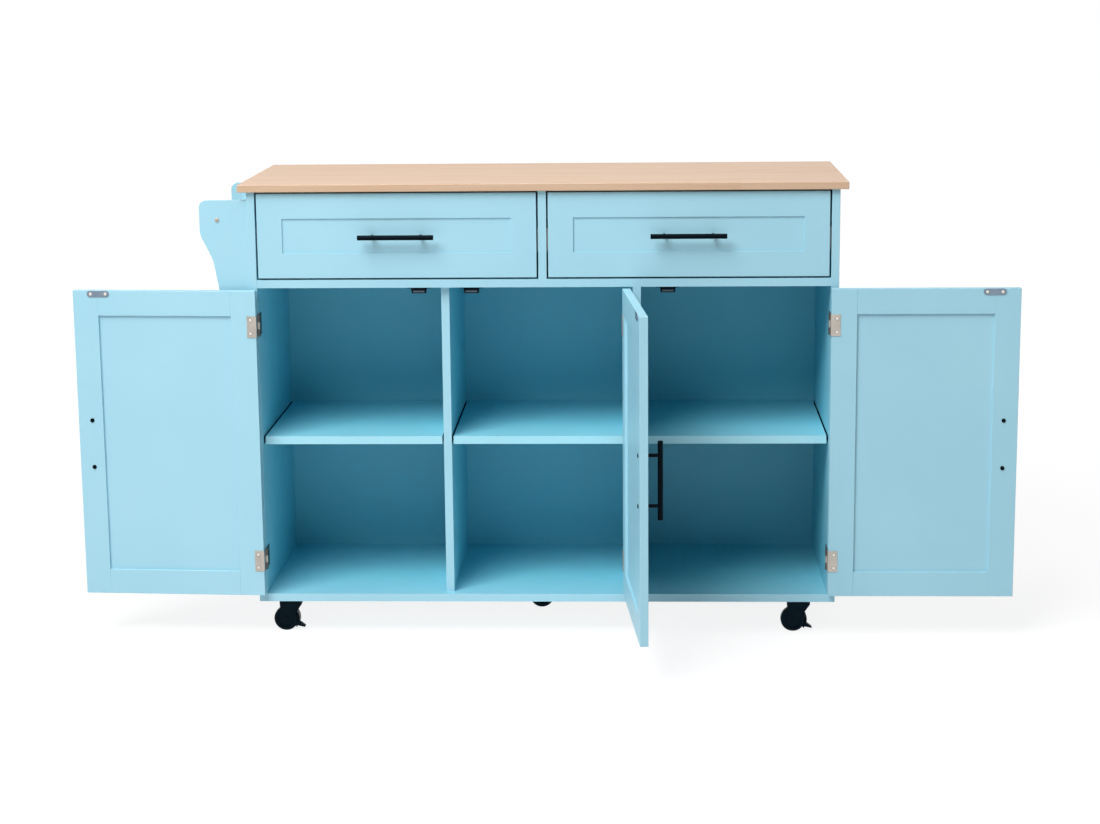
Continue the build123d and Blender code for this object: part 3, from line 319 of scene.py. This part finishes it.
def blue_paint(name="blue_paint", paint=PAINT, cabinet=False, gaps=False):
    """Satin paint sprayed on board: faint orange peel, edges paler from rubbing and a painted
    highlight; painted shade and less gloss inside a cabinet, and painted shadow in the shelf gaps if
    asked.
    """
    material, tree, shader = new_material(name)
    place = place_on_part(tree)
    cloud = spread(tree, noise(tree, place, scale=5.0, detail=3.0), span=(0.3, 0.7))
    deep = mix_colour(tree, 1.0, paint, PAINT_CLOUD, "MULTIPLY")
    colour = mix_colour(tree, cloud, paint, deep)
    gloss = PAINT_GLOSS
    if cabinet:
        # Painted shade on the inner faces, deeper towards the back, and less gloss there
        within = inside(tree, place)
        colour = mix_colour(tree, within, colour, PAINT_INSIDE_SHADE)
        gloss = spread(tree, within, UNIT, to=(PAINT_GLOSS, INSIDE_GLOSS))
        if gaps:
            # Painted shadow, nearly black and without gloss, in the gaps beside the shelves
            gap_shade = shade_beside_shelves(tree, place, within)
            colour = mix_colour(tree, gap_shade, colour, GAP_SHADE)
            gloss = math_node(tree, "MULTIPLY", gloss, math_node(tree, "SUBTRACT", 1.0, gap_shade))
    # Paler along edges: partly rubbed paint, partly a painted highlight, broken up by noise
    rub = spread(tree, noise(tree, place, scale=60.0), span=(0.35, 0.65), to=(0.25, 0.7))
    wear = math_node(tree, "MULTIPLY", edge_mask(tree, PAINT_WEAR_AND_HIGHLIGHT_R), rub)
    peel = noise(tree, place, scale=650.0, detail=1.5)
    smudge = noise(tree, place, scale=22.0, detail=4.0)
    set_inputs(tree, shader, {
        "Base Color": mix_colour(tree, wear, colour, PAINT_EDGE_WEAR_AND_HIGHLIGHT), "Specular IOR Level": gloss,
        "Roughness": spread(tree, smudge, span=(0.3, 0.7), to=(0.40, 0.48)),
        "Normal": bump(tree, peel, PEEL_DEPTH, strength=0.5),
    })
    return material


def wood_top():
    """Light lacquered wood, glued from staves along X, with streaks, rings and pores."""
    material, tree, shader = new_material("wood_top")
    place = place_on_part(tree)
    stave = add_node(tree, "ShaderNodeTexBrick", {
        "Vector": place, "Color1": grey(0.0), "Color2": grey(1.0), "Mortar": grey(0.5), "Scale": 1.0,
        "Mortar Size": 0.0, "Bias": 0.0, "Brick Width": STAVE_L, "Row Height": STAVE_W,
    }, offset=STAVE_STAGGER, offset_frequency=2).outputs["Color"]
    shift = vector_node(tree, "MULTIPLY", stave, STAVE_SHIFT)
    moved = vector_node(tree, "ADD", place, shift)

    def grain(scale, detail, span, distortion=0.0):
        along = stretch(tree, moved, scale)
        lines = noise(tree, along, detail=detail, roughness=0.55, distortion=distortion)
        return spread(tree, lines, span)

    def share(mask, part):
        return math_node(tree, "MULTIPLY", mask, part)

    rings = grain(RINGS, detail=3.0, span=(0.34, 0.66), distortion=0.6)
    streaks = grain(STREAKS, detail=4.0, span=(0.36, 0.64))
    pores = grain(PORES, detail=2.0, span=(0.66, 0.74))
    colour = mix_colour(tree, rings, WOOD_PALE, WOOD)
    colour = mix_colour(tree, share(streaks, 0.3), colour, WOOD_DARK)
    colour = mix_colour(tree, share(pores, 0.4), colour, WOOD_PORE)
    tint = mix_colour(tree, stave, STAVE_TINT, grey(1.0))
    colour = mix_colour(tree, 1.0, colour, tint, "MULTIPLY")
    colour = mix_colour(tree, share(edge_mask(tree, WOOD_WEAR_R), 0.4), colour, WOOD_PALE)
    height = math_node(tree, "SUBTRACT", share(streaks, 0.4), pores)
    set_inputs(tree, shader, {
        "Base Color": colour, "Specular IOR Level": WOOD_GLOSS,
        "Roughness": spread(tree, streaks, UNIT, to=(0.40, 0.50)),
        "Normal": bump(tree, height, GRAIN_DEPTH, strength=0.5),
    })
    return material


def black_metal():
    """Satin black lacquer on steel bars: fine grain, edges worn to grey."""
    material, tree, shader = new_material("black_metal")
    place = place_on_part(tree)
    rub = spread(tree, noise(tree, place, scale=160.0), span=(0.4, 0.7))
    wear = math_node(tree, "MULTIPLY", edge_mask(tree, BLACK_WEAR_R), rub)
    smudge = noise(tree, place, scale=45.0, detail=3.0)
    set_inputs(tree, shader, {
        "Base Color": mix_colour(tree, wear, BLACK, BLACK_WORN),
        "Specular IOR Level": METAL_GLOSS, "Specular Tint": BLACK_SHEEN,
        "Roughness": spread(tree, smudge, span=(0.3, 0.7), to=(0.30, 0.40)),
        "Normal": bump(tree, noise(tree, place, scale=1800.0), LACQUER_DEPTH, strength=0.4),
    })
    return material


def black_plastic(name="black_plastic", pale_front=None):
    """Moulded black plastic: a fine eroded texture, a little dust; paler before a y, if given."""
    material, tree, shader = new_material(name)
    place = place_on_part(tree)
    specks = noise(tree, place, scale=70.0, detail=5.0, roughness=0.65)
    dust = spread(tree, specks, span=(0.50, 0.75), to=(0.0, 0.5))
    colour = mix_colour(tree, dust, RUBBER, RUBBER_DUSTY)
    wear = math_node(tree, "MULTIPLY", edge_mask(tree, BLACK_WEAR_R), 0.4)
    colour = mix_colour(tree, wear, colour, RUBBER_DUSTY)
    if pale_front is not None:
        front = math_node(tree, "LESS_THAN", parts_of(tree, place)["Y"], pale_front)
        colour = mix_colour(tree, front, colour, MAGNET)
    texture = noise(tree, place, scale=1500.0, detail=3.0)
    set_inputs(tree, shader, {
        "Base Color": colour, "Specular IOR Level": PLASTIC_GLOSS, "Specular Tint": BLACK_SHEEN,
        "Roughness": spread(tree, dust, span=(0.0, 0.5), to=(0.36, 0.52)),
        "Normal": bump(tree, texture, MOULD_DEPTH, strength=0.5),
    })
    return material


def steel(name="steel", bright=NICKEL, dull=NICKEL_DULL, screws=()):
    """Plated steel, drawn fine and duller in patches; a line of painted shade along its edges, and
    screw heads painted bright as a glint, circled by painted shade.
    """
    material, tree, shader = new_material(name)
    place = place_on_part(tree)
    drawn = noise(tree, stretch(tree, place, DRAWN_LINES))
    patch = spread(tree, noise(tree, place, scale=40.0, detail=3.0), span=(0.35, 0.70))
    colour = mix_colour(tree, patch, bright, dull)
    # Painted shade along the edges
    rim_shade = math_node(tree, "MULTIPLY", edge_mask(tree, STEEL_SHADE_RIM_R), 0.6)
    colour = mix_colour(tree, rim_shade, colour, SEAM_SHADE)
    nearest = None
    for spot in screws:
        away = vector_node(tree, "DISTANCE", place, spot, "Value")
        nearest = away if nearest is None else math_node(tree, "MINIMUM", nearest, away)
    if nearest is not None:
        # Painted glint on the screw heads, circled by painted shade
        shade_ring = math_node(tree, "LESS_THAN", nearest, SCREW_HEAD_R + SCREW_SHADE_RING)
        head = math_node(tree, "LESS_THAN", nearest, SCREW_HEAD_R)
        colour = mix_colour(tree, shade_ring, colour, SEAM_SHADE)
        colour = mix_colour(tree, head, colour, SCREW_GLINT)
    set_inputs(tree, shader, {
        "Base Color": colour, "Metallic": 0.8,
        "Roughness": spread(tree, patch, UNIT, to=(0.32, 0.42)),
        "Normal": bump(tree, drawn, DRAWN_DEPTH, strength=0.3),
    })
    return material


def raw_wood():
    """Plain beech of the dowels."""
    material, tree, shader = new_material("raw_wood")
    flecks = noise(tree, stretch(tree, place_on_part(tree), FLECKS), detail=4.0)
    colour = mix_colour(tree, spread(tree, flecks, span=(0.35, 0.65)), BEECH, BEECH_DARK)
    set_inputs(tree, shader, {
        "Base Color": colour, "Roughness": 0.7,
        "Normal": bump(tree, flecks, FLECK_DEPTH, strength=0.5),
    })
    return material


FINISHES = {
    "blue_paint": blue_paint, "wood_top": wood_top, "black_metal": black_metal,
    "black_plastic": black_plastic, "steel": steel, "raw_wood": raw_wood,
}


def on_door(name, spots):
    """Places on a door that stands open, from places measured from its hinge pin."""
    joints = frame["record"]["behaviour"]["joints"]
    hinge = next(joint for joint in joints if joint["name"] == f"{name}_door_hinge")
    upward = hinge["axis"][2]
    opened = -hinge["range_deg"][0]
    turn = Matrix.Rotation(math.radians(upward * opened), 3, "Z")
    foot = Vector((*hinge["pos_m"][:2], 0.0))
    return [foot + turn @ Vector((-upward * x, y, z)) for x, y, z in spots]


def dress_parts():
    """Give every part the finish of its material slot, or its own."""
    made = {slot: finish() for slot, finish in FINISHES.items()}
    # Painted shade: the frame leaves and hinge pins get a darker copy of the nickel
    shaded = steel("shaded_steel", SHADED, SHADED_DULL)
    catch_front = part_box("door_catches")[0][1]
    # Painted shade on the cabinet boards' inner faces, and painted shadow in the shelf gaps
    own = dict.fromkeys(CABINET_BOARDS, blue_paint("shaded_cabinet_paint", cabinet=True, gaps=True))
    # The shelves: a painted-light copy of the paint, with the inner painted shade as well
    own["shelves"] = blue_paint("lit_shelf_paint", PAINT_SHELF_LIT, cabinet=True)
    own["door_catches"] = black_plastic("catch", catch_front + MAGNET_PROUD)
    own["frame_hinge_leaves"] = shaded
    own["hinge_pins"] = shaded
    for door in DOORS:
        own[f"{door}_door_strike_plate"] = steel(
            f"{door}_strike_plate", PLATE, PLATE_DULL, on_door(door, STRIKE_SCREWS)
        )
        own[f"{door}_door_hinge_leaves"] = steel(
            f"{door}_hinge_leaves", screws=on_door(door, HINGE_SCREWS)
        )
    for part in frame["record"]["subparts"]:
        mesh = frame["nodes"][part["node"]].data
        mesh.materials.clear()
        mesh.materials.append(own.get(part["node"], made[part["material_slot"]]))


# Floor, light and camera

def white_rays(tree):
    """1 for rays from the camera, from gloss or through glass, which see plain white."""
    path = add_node(tree, "ShaderNodeLightPath")
    seen = math_node(
        tree, "MAXIMUM", path.outputs["Is Camera Ray"], path.outputs["Is Glossy Ray"]
    )
    return math_node(tree, "MAXIMUM", seen, path.outputs["Is Transmission Ray"])


def floor():
    """A wide pale floor that looks white and keeps the cart's shadow."""
    material, tree = new_tree("floor")
    place = place_on_part(tree)
    away = add_node(
        tree, "ShaderNodeVectorMath", {0: place}, operation="LENGTH"
    ).outputs["Value"]
    strength = spread(tree, away, FLOOR_FADE, FLOOR_GLOW)
    bounce = add_node(tree, "ShaderNodeBsdfDiffuse", {"Color": grey(FLOOR_BOUNCE)})
    shaded = add_node(tree, "ShaderNodeBsdfDiffuse", {"Color": grey(FLOOR_SHADE)})
    glow = add_node(tree, "ShaderNodeEmission", {"Strength": strength})
    seen = add_node(tree, "ShaderNodeAddShader", {0: shaded.outputs[0], 1: glow.outputs[0]})
    mixed = add_node(
        tree, "ShaderNodeMixShader", {0: white_rays(tree), 1: bounce.outputs[0], 2: seen.outputs[0]}
    )
    add_node(tree, "ShaderNodeOutputMaterial", {"Surface": mixed.outputs[0]})

    mesh = bpy.data.meshes.new("floor")
    corners = [
        (x * FLOOR_HALF, y * FLOOR_HALF, 0.0) for x, y in ((-1, -1), (1, -1), (1, 1), (-1, 1))
    ]
    mesh.from_pydata(corners, [], [(0, 1, 2, 3)])
    mesh.materials.append(material)
    plane = bpy.data.objects.new("floor", mesh)
    bpy.context.scene.collection.objects.link(plane)


def aim(place, target):
    """The turn that points a lamp's -Z at a target."""
    return (Vector(target) - Vector(place)).to_track_quat("-Z", "Y").to_euler()


def lights():
    """The soft panels and the white world."""
    for name, (place, target, width, watts) in LIGHTS.items():
        lamp = bpy.data.lights.new(name, "AREA")
        lamp.size = width
        lamp.energy = watts
        panel = bpy.data.objects.new(name, lamp)
        panel.location = place
        panel.rotation_euler = aim(place, target)
        panel.visible_camera = False
        bpy.context.scene.collection.objects.link(panel)

    world = bpy.data.worlds.new("studio")
    world.use_nodes = True
    tree = world.node_tree
    tree.nodes.clear()
    ambient, white = (
        add_node(tree, "ShaderNodeBackground", {"Color": grey(1.0), "Strength": strength})
        for strength in (WORLD_LIGHT, 1.0)
    )
    mixed = add_node(
        tree, "ShaderNodeMixShader", {0: white_rays(tree), 1: ambient.outputs[0], 2: white.outputs[0]}
    )
    add_node(tree, "ShaderNodeOutputWorld", {"Surface": mixed.outputs[0]})
    bpy.context.scene.world = world


def camera():
    """The photograph's viewpoint."""
    ahead = Vector((
        math.sin(CAMERA_YAW) * math.cos(CAMERA_PITCH),
        math.cos(CAMERA_YAW) * math.cos(CAMERA_PITCH),
        math.sin(CAMERA_PITCH),
    ))
    level = Vector((math.cos(CAMERA_YAW), -math.sin(CAMERA_YAW), 0.0))
    above = level.cross(ahead)
    right = math.cos(CAMERA_ROLL) * level + math.sin(CAMERA_ROLL) * above
    up = math.cos(CAMERA_ROLL) * above - math.sin(CAMERA_ROLL) * level
    lens = bpy.data.cameras.new("photograph")
    lens.sensor_width = SENSOR_MM
    lens.lens = FOCAL_PIXELS / IMAGE_W * SENSOR_MM
    view = bpy.data.objects.new("photograph", lens)
    turn = Matrix((right, up, -ahead)).transposed()
    view.matrix_world = Matrix.Translation(CAMERA_AT) @ turn.to_4x4()
    bpy.context.scene.collection.objects.link(view)
    bpy.context.scene.camera = view


dress_parts()
floor()
lights()
camera()
bpy.context.scene.view_settings.view_transform = "Standard"
